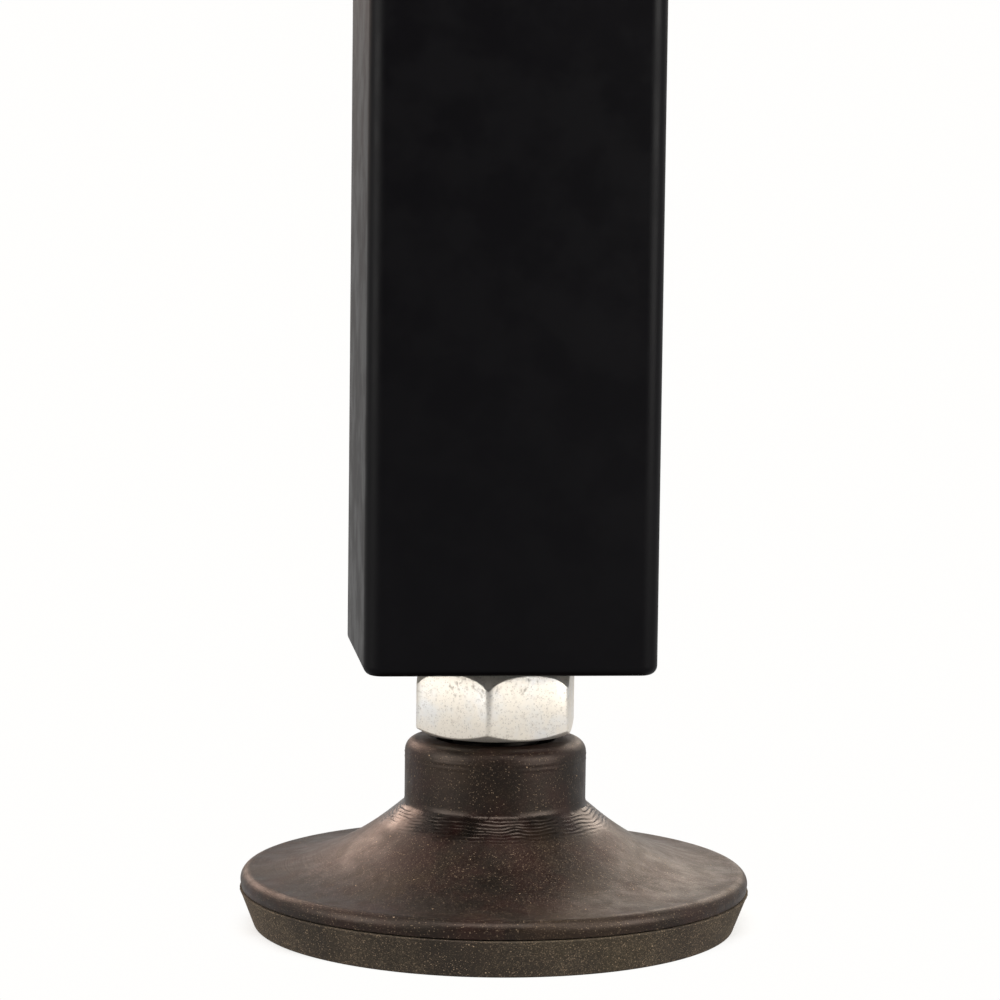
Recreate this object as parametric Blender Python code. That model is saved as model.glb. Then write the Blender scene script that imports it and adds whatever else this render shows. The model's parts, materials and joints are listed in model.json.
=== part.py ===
"""Lower end of a power tower's leg, standing on its levelling foot.

A square steel tube is closed at its lower end by a plate with a weld nut on it. A threaded stem
runs up through them and ends below in a ball. The ball sits between two nylon liners in the socket
of a round moulded foot, so the foot can swivel while it lies flat on a rubber sole. A jam nut
under the plate locks the stem. Metres, +Z up, origin on the floor under the stem's axis.
"""

import math

import bmesh
import bpy
from mathutils import Matrix, Vector

MM = 0.001
GAP = 0.3 * MM

# Driving dimensions: the leg's tube and its closing plate.
TUBE_WIDTH = 45 * MM
TUBE_WALL = 2.5 * MM
TUBE_CORNER_RADIUS = 3 * MM
TUBE_END_ROUND = 1.5 * MM
TUBE_BOTTOM = 42.3 * MM
TUBE_TOP = 200 * MM
PLATE_THICKNESS = 5 * MM
PLATE_HOLE_RADIUS = 8.8 * MM

# Driving dimensions: the M16 thread and what screws on it.
THREAD_RADIUS = 8 * MM
NUT_BORE_RADIUS = 8.25 * MM
NUT_ACROSS_FLATS = 24 * MM
NUT_CHAMFER_ANGLE = math.radians(30)
JAM_NUT_BOTTOM = 30.6 * MM
JAM_NUT_TURN = math.radians(48.5)
WELD_NUT_HEIGHT = 13 * MM
STEM_TOP = 90 * MM
STEM_NECK_RADIUS = 6 * MM
STEM_CHAMFER = 1.5 * MM

# Driving dimensions: the ball joint.
BALL_CENTRE = 20.4 * MM
BALL_RADIUS = 9.5 * MM
LINER_INNER = BALL_RADIUS + 0.2 * MM
LINER_OUTER = 11.1 * MM
SOCKET_RADIUS = LINER_OUTER + GAP
LINER_SPLIT_BELOW = 0.8 * MM
LINER_SPLIT_ABOVE = 0.5 * MM
LINER_TOP_ABOVE = 6 * MM

# Driving dimensions: the moulded foot and its rubber sole.
SOLE_BOTTOM_RADIUS = 38.4 * MM
SOLE_RIDGE_RADIUS = 40.5 * MM
SOLE_TOP = 5.9 * MM
SOLE_EDGE = 0.5 * MM
FOOT_BOTTOM = 6.3 * MM
FOOT_EDGE_RADIUS = 40.3 * MM
SHOULDER_TOP = 8.8 * MM
SHOULDER_ROUND = 1.6 * MM
NECK_RADIUS = 14.4 * MM
NECK_FOOT = 19.6 * MM
NECK_TOP = 29.7 * MM
NECK_ROUND = 2.1 * MM
NECK_BORE_RADIUS = 9.4 * MM
FLARE_POWER = 2

# Driving dimensions: the steel plate that closes the socket, and its screws.
CORE_RADIUS = 22 * MM
CORE_BOTTOM = 6.6 * MM
CORE_THICKNESS = 2.4 * MM
SCREW_COUNT = 4
SCREW_CIRCLE_RADIUS = 16.5 * MM
SCREW_RADIUS = 1.6 * MM
SCREW_HEAD_RADIUS = 3 * MM
SCREW_HEAD_HEIGHT = 1.6 * MM
SCREW_TOP = 13.6 * MM

# How many sides the round pieces have.
FOOT_SIDES = 48
BALL_SIDES = 32
NUT_SIDES = 36
SCREW_SIDES = 16

# Each finish: base colour, roughness, metallic value.
BLACK_COATING = ((0.012, 0.011, 0.013), 0.45, 0.0)
ZINC = ((0.78, 0.74, 0.66), 0.4, 0.8)
BLACKENED = ((0.05, 0.045, 0.042), 0.45, 0.9)
PLAIN_STEEL = ((0.42, 0.41, 0.40), 0.45, 0.9)
MOULDED_BLACK = ((0.028, 0.022, 0.02), 0.6, 0.0)
RUBBER = ((0.035, 0.03, 0.028), 0.85, 0.0)
NYLON = ((0.72, 0.69, 0.6), 0.5, 0.0)


def clear_scene():
    """Remove every object that the file opened with."""
    for thing in list(bpy.data.objects):
        bpy.data.objects.remove(thing, do_unlink=True)


def make_material(name, finish):
    """Return a Principled material with the finish's colour, roughness and metallic value."""
    colour, roughness, metallic = finish
    material = bpy.data.materials.new(name)
    material.use_nodes = True
    shader = material.node_tree.nodes["Principled BSDF"]
    shader.inputs["Base Color"].default_value = (*colour, 1)
    shader.inputs["Roughness"].default_value = roughness
    shader.inputs["Metallic"].default_value = metallic
    return material


def add_object(name, shape, finish, origin=(0, 0, 0)):
    """Turn a bmesh in world coordinates into a named object whose origin is at the given point."""
    bmesh.ops.remove_doubles(shape, verts=shape.verts, dist=1e-6)
    bmesh.ops.recalc_face_normals(shape, faces=shape.faces)
    bmesh.ops.transform(shape, matrix=Matrix.Translation(-Vector(origin)), verts=shape.verts)
    mesh = bpy.data.meshes.new(name)
    shape.to_mesh(mesh)
    shape.free()
    mesh.shade_smooth()
    mesh.set_sharp_from_angle(angle=math.radians(35))
    mesh.materials.append(make_material(name, finish))
    piece = bpy.data.objects.new(name, mesh)
    piece.location = origin
    bpy.context.collection.objects.link(piece)
    return piece


def turned(profile, sides, closed):
    """Spin a profile of (radius, height) points round the Z axis."""
    shape = bmesh.new()
    corners = [shape.verts.new((radius, 0, height)) for radius, height in profile]
    pairs = list(zip(corners, corners[1:]))
    if closed:
        pairs.append((corners[-1], corners[0]))
    edges = [shape.edges.new(pair) for pair in pairs]
    bmesh.ops.spin(shape, geom=corners + edges, cent=(0, 0, 0), axis=(0, 0, 1),
                   angle=math.tau, steps=sides, use_merge=True)
    return shape


def ring_loft(loops):
    """Join loops of equal length into one closed ring, the last loop back to the first."""
    shape = bmesh.new()
    rings = [[shape.verts.new(point) for point in loop] for loop in loops]
    count = len(rings[0])
    for lower, upper in zip(rings, rings[1:] + rings[:1]):
        for i in range(count):
            j = (i + 1) % count
            shape.faces.new((lower[i], lower[j], upper[j], upper[i]))
    return shape


def arc(centre, radius, start_deg, end_deg, steps):
    """Return (radius, height) points along an arc, with 0 degrees outward and 90 upward."""
    angles = [math.radians(start_deg + (end_deg - start_deg) * i / steps) for i in range(steps + 1)]
    return [(centre[0] + radius * math.cos(a), centre[1] + radius * math.sin(a)) for a in angles]


def circle_loop(radius, height, sides):
    """Return a ring of points round the Z axis."""
    angles = [math.tau * i / sides for i in range(sides)]
    return [(radius * math.cos(a), radius * math.sin(a), height) for a in angles]


def square_loop(width, corner_radius, height):
    """Return a square with round corners, eight points to a corner, centred on the Z axis."""
    inset = width / 2 - corner_radius
    loop = []
    for quarter in range(4):
        middle = math.pi / 4 + quarter * math.pi / 2
        across, along = math.copysign(inset, math.cos(middle)), math.copysign(inset, math.sin(middle))
        for step in range(8):
            angle = quarter * math.pi / 2 + (step / 7) * math.pi / 2
            loop.append((across + corner_radius * math.cos(angle),
                         along + corner_radius * math.sin(angle), height))
    return loop


def hexagon_radius(angle, turn):
    """Return how far the hexagon's edge is from the axis in one direction."""
    from_flat = (angle - turn + math.pi / 6) % (math.pi / 3) - math.pi / 6
    return NUT_ACROSS_FLATS / 2 / math.cos(from_flat)


def hexagon_nut(bottom, top, turn):
    """Return a chamfered hexagon nut with a plain bore at the thread's clearance radius."""
    face_radius = NUT_ACROSS_FLATS / 2 * 0.95
    angles = [turn + math.tau * i / NUT_SIDES for i in range(NUT_SIDES)]
    slope = math.tan(NUT_CHAMFER_ANGLE)
    lower, upper = [], []
    for angle in angles:
        reach = hexagon_radius(angle, turn)
        drop = (reach - face_radius) * slope
        spot = (reach * math.cos(angle), reach * math.sin(angle))
        lower.append((*spot, bottom + drop))
        upper.append((*spot, top - drop))

    def ring(radius, height):
        return [(radius * math.cos(a), radius * math.sin(a), height) for a in angles]

    return ring_loft([ring(NUT_BORE_RADIUS, bottom), ring(face_radius, bottom), lower,
                      upper, ring(face_radius, top), ring(NUT_BORE_RADIUS, top)])


def add_leg_tube():
    """The leg's square tube, open at both ends, its lower edge ground round."""
    inner_width = TUBE_WIDTH - 2 * TUBE_WALL
    inner_corner = TUBE_CORNER_RADIUS - TUBE_WALL
    loops = []
    for step in range(4):
        angle = step / 3 * math.pi / 2
        inset = TUBE_END_ROUND * (1 - math.sin(angle))
        height = TUBE_BOTTOM + TUBE_END_ROUND * (1 - math.cos(angle))
        loops.append(square_loop(TUBE_WIDTH - 2 * inset, TUBE_CORNER_RADIUS - inset, height))
    loops += [square_loop(TUBE_WIDTH, TUBE_CORNER_RADIUS, TUBE_TOP),
              square_loop(inner_width, inner_corner, TUBE_TOP),
              square_loop(inner_width, inner_corner, TUBE_BOTTOM)]
    add_object("leg_tube", ring_loft(loops), BLACK_COATING)


def add_end_plate():
    """The plate welded inside the tube's lower end, with a clearance hole for the stem."""
    width = TUBE_WIDTH - 2 * TUBE_WALL - 2 * GAP
    top = TUBE_BOTTOM + PLATE_THICKNESS
    sides = len(square_loop(width, GAP, 0))
    add_object("end_plate", ring_loft([
        square_loop(width, GAP, TUBE_BOTTOM), square_loop(width, GAP, top),
        circle_loop(PLATE_HOLE_RADIUS, top, sides),
        circle_loop(PLATE_HOLE_RADIUS, TUBE_BOTTOM, sides)]), PLAIN_STEEL)


def add_nuts():
    """The weld nut on the plate inside the tube, and the jam nut under the tube."""
    weld_bottom = TUBE_BOTTOM + PLATE_THICKNESS + GAP
    add_object("weld_nut", hexagon_nut(weld_bottom, weld_bottom + WELD_NUT_HEIGHT, 0), PLAIN_STEEL)
    add_object("jam_nut", hexagon_nut(JAM_NUT_BOTTOM, TUBE_BOTTOM - GAP, JAM_NUT_TURN), ZINC,
               origin=(0, 0, JAM_NUT_BOTTOM))


def add_ball_stem():
    """The threaded stem: a ball below, a plain neck, and the thread's outer cylinder above."""
    centre = (0, BALL_CENTRE)
    neck_angle = math.degrees(math.acos(STEM_NECK_RADIUS / BALL_RADIUS))
    neck_top = BALL_CENTRE + BALL_RADIUS * math.sin(math.radians(neck_angle)) + 0.4 * MM
    cone_top = neck_top + (THREAD_RADIUS - STEM_NECK_RADIUS)
    profile = arc(centre, BALL_RADIUS, -90, neck_angle, 13)
    profile[0] = (0, profile[0][1])
    profile += [(STEM_NECK_RADIUS, neck_top), (THREAD_RADIUS, cone_top),
                (THREAD_RADIUS, STEM_TOP - STEM_CHAMFER),
                (THREAD_RADIUS - STEM_CHAMFER, STEM_TOP), (0, STEM_TOP)]
    add_object("ball_stem", turned(profile, BALL_SIDES, closed=False), BLACKENED, origin=(0, 0, BALL_CENTRE))


def shell_edge(height_from_centre, radius):
    """Return the angle in degrees at which a sphere's surface is that far above its centre."""
    return math.degrees(math.asin(height_from_centre / radius))


def add_liners():
    """The two nylon shells round the ball: a cup below it and a ring above its middle."""
    centre = (0, BALL_CENTRE)
    cup_inner = arc(centre, LINER_INNER, -90, shell_edge(-LINER_SPLIT_BELOW, LINER_INNER), 8)
    cup_outer = arc(centre, LINER_OUTER, shell_edge(-LINER_SPLIT_BELOW, LINER_OUTER), -90, 8)
    cup_inner[0] = (0, cup_inner[0][1])
    cup_outer[-1] = (0, cup_outer[-1][1])
    add_object("liner_cup", turned(cup_inner + cup_outer, BALL_SIDES, closed=False), NYLON,
               origin=(0, 0, BALL_CENTRE))
    ring_inner = arc(centre, LINER_INNER, shell_edge(LINER_TOP_ABOVE, LINER_INNER),
                     shell_edge(LINER_SPLIT_ABOVE, LINER_INNER), 4)
    ring_outer = arc(centre, LINER_OUTER, shell_edge(LINER_SPLIT_ABOVE, LINER_OUTER),
                     shell_edge(LINER_TOP_ABOVE, LINER_OUTER), 4)
    add_object("liner_ring", turned(ring_inner + ring_outer, BALL_SIDES, closed=True), NYLON,
               origin=(0, 0, BALL_CENTRE))


def flare(steps):
    """Return the foot's hollow upper surface, from its shoulder in to the neck."""
    start = FOOT_EDGE_RADIUS - SHOULDER_ROUND
    points = []
    for i in range(1, steps + 1):
        share = i / steps
        rise = (NECK_FOOT - SHOULDER_TOP) * share ** FLARE_POWER
        points.append((start + (NECK_RADIUS - start) * share, SHOULDER_TOP + rise))
    return points


def foot_profile():
    """Return the foot's closed section: outer surface, neck, bore, socket and plate recess."""
    shoulder = arc((FOOT_EDGE_RADIUS - SHOULDER_ROUND, SHOULDER_TOP - SHOULDER_ROUND),
                   SHOULDER_ROUND, -5, 90, 4)
    lip = arc((NECK_RADIUS - NECK_ROUND, NECK_TOP - NECK_ROUND), NECK_ROUND, 0, 90, 3)
    bore_angle = math.degrees(math.acos(NECK_BORE_RADIUS / SOCKET_RADIUS))
    socket = arc((0, BALL_CENTRE), SOCKET_RADIUS, bore_angle, 0, 4)
    recess_radius = CORE_RADIUS + GAP
    recess_top = CORE_BOTTOM + CORE_THICKNESS + GAP
    outside = [(FOOT_EDGE_RADIUS - 0.6 * MM, FOOT_BOTTOM)] + shoulder + flare(9) + lip
    inside = [(NECK_BORE_RADIUS, NECK_TOP)] + socket
    below = [(SOCKET_RADIUS, recess_top), (recess_radius, recess_top), (recess_radius, FOOT_BOTTOM)]
    return outside + inside + below


def screw_places():
    """Return the number, x and y of each screw."""
    for i in range(SCREW_COUNT):
        angle = math.pi / SCREW_COUNT + math.tau * i / SCREW_COUNT
        yield i + 1, SCREW_CIRCLE_RADIUS * math.cos(angle), SCREW_CIRCLE_RADIUS * math.sin(angle)


def add_cutter(name, profile, x, y):
    """Add a turned cutter at a screw's place, left out of the build."""
    shape = turned(profile, SCREW_SIDES, closed=False)
    cutter = add_object(name, shape, PLAIN_STEEL)
    cutter.location = (x, y, 0)
    cutter.hide_render = True
    cutter.display_type = "WIRE"
    return cutter


def cut(piece, cutter):
    """Take the cutter away from the piece with a Boolean modifier."""
    modifier = piece.modifiers.new(cutter.name, "BOOLEAN")
    modifier.operation = "DIFFERENCE"
    modifier.solver = "EXACT"
    modifier.object = cutter


def add_foot_body():
    """The moulded foot, with a blind hole over each screw."""
    foot = add_object("foot_body", turned(foot_profile(), FOOT_SIDES, closed=True), MOULDED_BLACK,
                      origin=(0, 0, BALL_CENTRE))
    hole_radius = SCREW_RADIUS + GAP
    profile = [(0, 0), (hole_radius, 0), (hole_radius, SCREW_TOP + GAP), (0, SCREW_TOP + GAP)]
    for number, x, y in screw_places():
        cut(foot, add_cutter(f"foot_hole_{number}", profile, x, y))


def add_core_plate():
    """The steel disc that closes the socket, countersunk for its screws."""
    top = CORE_BOTTOM + CORE_THICKNESS
    profile = [(0, CORE_BOTTOM), (CORE_RADIUS, CORE_BOTTOM), (CORE_RADIUS, top), (0, top)]
    plate = add_object("core_plate", turned(profile, FOOT_SIDES, closed=False), PLAIN_STEEL,
                       origin=(0, 0, BALL_CENTRE))
    hole_radius = SCREW_RADIUS + GAP
    head_radius = SCREW_HEAD_RADIUS + GAP
    sink_top = CORE_BOTTOM + SCREW_HEAD_HEIGHT + GAP
    cutter = [(0, 0), (head_radius, 0), (head_radius, CORE_BOTTOM + GAP), (hole_radius, sink_top),
              (hole_radius, top + MM), (0, top + MM)]
    for number, x, y in screw_places():
        cut(plate, add_cutter(f"plate_hole_{number}", cutter, x, y))


def add_core_screws():
    """The countersunk screws that hold the plate up in the foot."""
    head_bottom = CORE_BOTTOM + GAP / 2
    profile = [(0, head_bottom), (SCREW_HEAD_RADIUS, head_bottom),
               (SCREW_RADIUS, head_bottom + SCREW_HEAD_HEIGHT - GAP / 2),
               (SCREW_RADIUS, SCREW_TOP - SCREW_RADIUS), (0.4 * SCREW_RADIUS, SCREW_TOP), (0, SCREW_TOP)]
    for number, x, y in screw_places():
        screw = add_object(f"core_screw_{number}", turned(profile, SCREW_SIDES, closed=False), ZINC)
        screw.location = (x, y, 0)


def add_sole():
    """The rubber sole, with a slanting outer band that is widest at its top."""
    profile = [(0, 0), (SOLE_BOTTOM_RADIUS - SOLE_EDGE, 0), (SOLE_BOTTOM_RADIUS, SOLE_EDGE),
               (SOLE_RIDGE_RADIUS, SOLE_TOP - SOLE_EDGE), (SOLE_RIDGE_RADIUS - SOLE_EDGE, SOLE_TOP),
               (0, SOLE_TOP)]
    add_object("sole", turned(profile, FOOT_SIDES, closed=False), RUBBER, origin=(0, 0, BALL_CENTRE))


def main():
    """Build every piece, from the leg down to the floor."""
    clear_scene()
    add_leg_tube()
    add_end_plate()
    add_nuts()
    add_ball_stem()
    add_liners()
    add_foot_body()
    add_core_plate()
    add_core_screws()
    add_sole()


main()
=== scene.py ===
"""The looks of a power tower's lower leg, standing on its swivelling levelling foot.

A black coated square tube, closed below by a welded plate with a weld nut on it; a blackened
threaded stem that ends in a ball; a plated jam nut; nylon liners round the ball; and a moulded foot on
a rubber sole. Metres, +Z up, the origin on the floor under the stem.
"""

import json
import logging
import math
from collections.abc import Callable, Sequence
from dataclasses import dataclass, field
from enum import Enum
from typing import Any

import bmesh
import bpy
from mathutils import Matrix, Vector, noise


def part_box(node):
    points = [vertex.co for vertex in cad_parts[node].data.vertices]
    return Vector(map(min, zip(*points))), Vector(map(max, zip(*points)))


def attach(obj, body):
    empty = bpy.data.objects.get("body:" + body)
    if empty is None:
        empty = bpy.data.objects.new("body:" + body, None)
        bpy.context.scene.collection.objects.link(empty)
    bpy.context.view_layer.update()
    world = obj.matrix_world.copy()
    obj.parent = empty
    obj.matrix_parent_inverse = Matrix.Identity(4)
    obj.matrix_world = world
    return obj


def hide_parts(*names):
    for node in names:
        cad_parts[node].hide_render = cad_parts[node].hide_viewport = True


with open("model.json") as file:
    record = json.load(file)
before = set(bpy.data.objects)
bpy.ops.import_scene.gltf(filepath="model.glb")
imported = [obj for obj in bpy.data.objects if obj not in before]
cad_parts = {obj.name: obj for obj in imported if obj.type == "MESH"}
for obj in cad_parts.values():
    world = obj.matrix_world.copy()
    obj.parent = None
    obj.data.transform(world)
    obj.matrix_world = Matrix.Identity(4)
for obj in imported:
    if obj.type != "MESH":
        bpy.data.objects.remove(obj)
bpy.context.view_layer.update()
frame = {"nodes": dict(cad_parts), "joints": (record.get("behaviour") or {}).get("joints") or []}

MM = 0.001
MICRON = 1e-6
TAU = math.tau
LOG = logging.getLogger("leg_foot")

Socket = bpy.types.NodeSocket
Colour = tuple[float, float, float]
Profile = list[tuple[float, float]]
Loop = list[tuple[float, float, float]]
Shift = Callable[[float, float, float], float]

CORE_SCREWS = [f"core_screw_{number}" for number in range(1, 5)]
BALL_CENTRE = next(joint["pos_m"][2] for joint in frame["joints"] if joint["name"] == "tilt_sideways")


class Lay(Enum):
    """The way a machined surface's fine lines run."""

    ROUND = "rings about the axis"
    STRAIGHT = "straight lines across"


class Shade(Enum):
    """How far apart two faces may turn and still be shaded as one surface, in degrees."""

    SOFT = 60
    CRISP = 28


# ---------------------------------------------------------------------------------------------
# Node trees
# ---------------------------------------------------------------------------------------------


class Canvas:
    """A node tree with short calls to add nodes to it."""

    def __init__(self, tree: bpy.types.NodeTree) -> None:
        """Keep the tree.

        Args:
            tree: the shader or geometry tree to add to.
        """
        self.tree = tree

    def node(self, kind: str, inputs: dict[str | int, Any] | None = None,
             **settings: Any) -> bpy.types.Node:
        """Add a node.

        Args:
            kind: the node's type name.
            inputs: values or sockets for its inputs, by name or number.
            settings: properties of the node itself.

        Returns:
            The new node.
        """
        made = self.tree.nodes.new(kind)
        for key, value in settings.items():
            setattr(made, key, value)
        for key, value in (inputs or {}).items():
            if isinstance(value, Socket):
                self.tree.links.new(value, made.inputs[key])
            else:
                made.inputs[key].default_value = value
        return made

    def math(self, operation: str, *values: Any, clamp: bool = False) -> Socket:
        """Add a Math node.

        Args:
            operation: the operation's name.
            values: numbers or sockets, in order.
            clamp: whether the result is held between 0 and 1.

        Returns:
            The result's socket.
        """
        inputs = dict(enumerate(values))
        return self.node("ShaderNodeMath", inputs, operation=operation, use_clamp=clamp).outputs[0]

    def remap(self, value: Socket, low: Any, high: Any, to_low: Any = 0.0, to_high: Any = 1.0) -> Socket:
        """Spread a value smoothly from one range to another.

        Args:
            value: the value's socket.
            low: where the range starts.
            high: where the range ends.
            to_low: what the start becomes.
            to_high: what the end becomes.

        Returns:
            The result's socket.
        """
        inputs = {"Value": value, "From Min": low, "From Max": high, "To Min": to_low, "To Max": to_high}
        return self.node("ShaderNodeMapRange", inputs, interpolation_type="SMOOTHSTEP").outputs[0]

    def blend(self, share: Any, first: Any, second: Any) -> Socket:
        """Mix two colours.

        Args:
            share: how much of the second shows.
            first: a colour or socket.
            second: a colour or socket.

        Returns:
            The mixed colour's socket.
        """
        first, second = (c if isinstance(c, Socket) else (*c, 1.0) for c in (first, second))
        return self.node("ShaderNodeMix", {0: share, 6: first, 7: second}, data_type="RGBA").outputs[2]

    def place(self) -> Socket:
        """Return the socket of the piece's own coordinates."""
        return self.node("ShaderNodeTexCoord").outputs["Object"]

    def from_axis(self, x: Socket, y: Socket) -> Socket:
        """Give the distance from the Z axis.

        Args:
            x: the first coordinate's socket.
            y: the second coordinate's socket.

        Returns:
            The distance's socket.
        """
        return self.math("SQRT", self.math("MULTIPLY_ADD", x, x, self.math("MULTIPLY", y, y)))


def new_group(name: str, kind: str, inputs: dict[str, tuple[str, Any]], outputs: dict[str, str]) -> Canvas:
    """Start a node group with named sockets.

    Args:
        name: the group's name.
        kind: the tree's type name.
        inputs: each input's socket type and default value, by name.
        outputs: each output's socket type, by name.

    Returns:
        A canvas on the new group.
    """
    tree = bpy.data.node_groups.new(name, kind)
    for label, (socket_type, value) in inputs.items():
        made = tree.interface.new_socket(name=label, in_out="INPUT", socket_type=socket_type)
        if value is not None:
            made.default_value = value
    for label, socket_type in outputs.items():
        tree.interface.new_socket(name=label, in_out="OUTPUT", socket_type=socket_type)
    return Canvas(tree)


def speck_group() -> bpy.types.NodeTree:
    """Build the group that scatters small round specks.

    Returns:
        The group, with a Mask output that is 1 in a speck.
    """
    group = new_group("Specks", "ShaderNodeTree", {
        "Cells": ("NodeSocketFloat", 700.0), "Radius": ("NodeSocketFloat", 0.25),
        "Share": ("NodeSocketFloat", 0.1)}, {"Mask": "NodeSocketFloat"})
    given = group.node("NodeGroupInput").outputs
    cells = group.node("ShaderNodeTexVoronoi", {"Vector": group.place(), "Scale": given["Cells"]})
    pick = group.node("ShaderNodeSeparateColor", {"Color": cells.outputs["Color"]})
    size = group.math("MULTIPLY", given["Radius"], group.math("ADD", pick.outputs[1], 0.35))
    near = group.math("LESS_THAN", cells.outputs["Distance"], size)
    chosen = group.math("LESS_THAN", pick.outputs[0], given["Share"])
    group.node("NodeGroupOutput", {"Mask": group.math("MULTIPLY", near, chosen)})
    return group.tree


def cloud_group() -> bpy.types.NodeTree:
    """Build the group that gives soft uneven patches.

    Returns:
        The group, with a Mask output from 0 to 1.
    """
    group = new_group("Patches", "ShaderNodeTree", {
        "Scale": ("NodeSocketFloat", 90.0), "Low": ("NodeSocketFloat", 0.4),
        "High": ("NodeSocketFloat", 0.65)}, {"Mask": "NodeSocketFloat"})
    given = group.node("NodeGroupInput").outputs
    inputs = {"Vector": group.place(), "Scale": given["Scale"], "Detail": 5.0, "Roughness": 0.6}
    cloud = group.node("ShaderNodeTexNoise", inputs)
    mask = group.remap(cloud.outputs[0], given["Low"], given["High"])
    group.node("NodeGroupOutput", {"Mask": mask})
    return group.tree


def settle_group() -> bpy.types.NodeTree:
    """Build the group that says how much dust lies on a surface, most where it faces up.

    Returns:
        The group, with a Mask output from 0 to 1.
    """
    group = new_group("Settled dust", "ShaderNodeTree", {
        "Even": ("NodeSocketFloat", 0.2), "Upward": ("NodeSocketFloat", 0.5),
        "Grain": ("NodeSocketFloat", 1400.0)}, {"Mask": "NodeSocketFloat"})
    given = group.node("NodeGroupInput").outputs
    normal = group.node("ShaderNodeNewGeometry").outputs["Normal"]
    rise = group.node("ShaderNodeSeparateXYZ", {0: normal}).outputs[2]
    facing = group.remap(rise, 0.1, 0.95)
    inputs = {"Vector": group.place(), "Scale": given["Grain"], "Detail": 3.0}
    grain = group.remap(group.node("ShaderNodeTexNoise", inputs).outputs[0], 0.35, 0.7)
    laid = group.math("MULTIPLY_ADD", facing, given["Upward"], given["Even"])
    textured = group.math("MULTIPLY", laid, group.math("MULTIPLY_ADD", grain, 0.8, 0.5), clamp=True)
    group.node("NodeGroupOutput", {"Mask": textured})
    return group.tree


def relief_group() -> bpy.types.NodeTree:
    """Build the group that gives a fine pebbled height.

    Returns:
        The group, with a Height output.
    """
    group = new_group("Fine relief", "ShaderNodeTree", {
        "Coarse": ("NodeSocketFloat", 400.0), "Fine": ("NodeSocketFloat", 2500.0),
        "Fine Share": ("NodeSocketFloat", 0.3)}, {"Height": "NodeSocketFloat"})
    given = group.node("NodeGroupInput").outputs
    spot = group.place()
    coarse = group.node("ShaderNodeTexNoise", {"Vector": spot, "Scale": given["Coarse"], "Detail": 2.0})
    fine = group.node("ShaderNodeTexNoise", {"Vector": spot, "Scale": given["Fine"], "Detail": 2.0})
    height = group.math("MULTIPLY_ADD", fine.outputs[0], given["Fine Share"], coarse.outputs[0])
    group.node("NodeGroupOutput", {"Height": height})
    return group.tree


def lines_group() -> bpy.types.NodeTree:
    """Build the group that gives fine tool marks across a coordinate.

    Returns:
        The group, with a Height output.
    """
    group = new_group("Tool marks", "ShaderNodeTree", {
        "Coordinate": ("NodeSocketFloat", 0.0), "Density": ("NodeSocketFloat", 2500.0)},
        {"Height": "NodeSocketFloat"})
    given = group.node("NodeGroupInput").outputs
    across = group.math("MULTIPLY", given["Coordinate"], given["Density"])
    marks = group.node("ShaderNodeTexNoise", {"W": across, "Scale": 1.0, "Detail": 4.0},
                       noise_dimensions="1D")
    group.node("NodeGroupOutput", {"Height": marks.outputs[0]})
    return group.tree


SPECKS = speck_group()
PATCHES = cloud_group()
SETTLED = settle_group()
RELIEF = relief_group()
TOOL_MARKS = lines_group()


class Paint(Canvas):
    """A material being built: a Principled shader and the nodes that feed it."""

    def __init__(self, name: str, roughness: float, metallic: float = 0.0, **fixed: float) -> None:
        """Start the material.

        Args:
            name: the material's name.
            roughness: the shader's plain roughness.
            metallic: the shader's metallic value.
            fixed: further values of the shader's own sockets, by name with underscores.
        """
        self.material = bpy.data.materials.new(name)
        self.material.use_nodes = True
        super().__init__(self.material.node_tree)
        self.shader = self.tree.nodes["Principled BSDF"]
        self.shader.inputs["Roughness"].default_value = roughness
        self.shader.inputs["Metallic"].default_value = metallic
        for key, value in fixed.items():
            self.shader.inputs[key.replace("_", " ")].default_value = value

    def use(self, group: bpy.types.NodeTree, **inputs: Any) -> Socket:
        """Place a shared group.

        Args:
            group: the group's tree.
            inputs: values for its inputs, by name with underscores.

        Returns:
            The group's first output.
        """
        named = {key.replace("_", " "): value for key, value in inputs.items()}
        return self.node("ShaderNodeGroup", named, node_tree=group).outputs[0]

    def feed(self, socket_name: str, value: Socket) -> None:
        """Link a value to one of the shader's sockets."""
        self.tree.links.new(value, self.shader.inputs[socket_name])

    def bump(self, height: Socket, depth: float, strength: float = 1.0) -> None:
        """Raise the surface by a height.

        Args:
            height: the height's socket, from about 0 to 1.
            depth: how far 1 stands up, in metres.
            strength: how much of the bump shows.
        """
        made = self.node("ShaderNodeBump", {"Height": height, "Distance": depth, "Strength": strength})
        self.feed("Normal", made.outputs[0])


# ---------------------------------------------------------------------------------------------
# Finishes
# ---------------------------------------------------------------------------------------------


@dataclass(frozen=True)
class CoatedFinish:
    """Black powder coating: satin, almost flat, with rare light specks."""

    name: str = "black powder coating"
    slot: str = "black_coating"
    colour: Colour = (0.0012, 0.001, 0.0016)
    bloom: Colour = (0.002, 0.0017, 0.0024)
    speck: Colour = (0.16, 0.15, 0.15)
    roughness: float = 0.42
    specular: float = 0.1

    def material(self) -> bpy.types.Material:
        """Build the coating's material.

        Returns:
            The new material.
        """
        paint = Paint(self.name, self.roughness, Specular_IOR_Level=self.specular)
        haze = paint.use(PATCHES, Scale=35.0, Low=0.45, High=0.8)
        colour = paint.blend(haze, self.colour, self.bloom)
        specks = paint.use(SPECKS, Cells=260.0, Radius=0.05, Share=0.035)
        paint.feed("Base Color", paint.blend(specks, colour, self.speck))
        patchy = paint.use(PATCHES, Scale=120.0, Low=0.3, High=0.7)
        low, high = self.roughness - 0.05, self.roughness + 0.05
        paint.feed("Roughness", paint.remap(patchy, 0.0, 1.0, low, high))
        paint.bump(paint.use(RELIEF, Coarse=320.0, Fine=1300.0, Fine_Share=0.35), 0.03 * MM, 0.35)
        return paint.material


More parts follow.
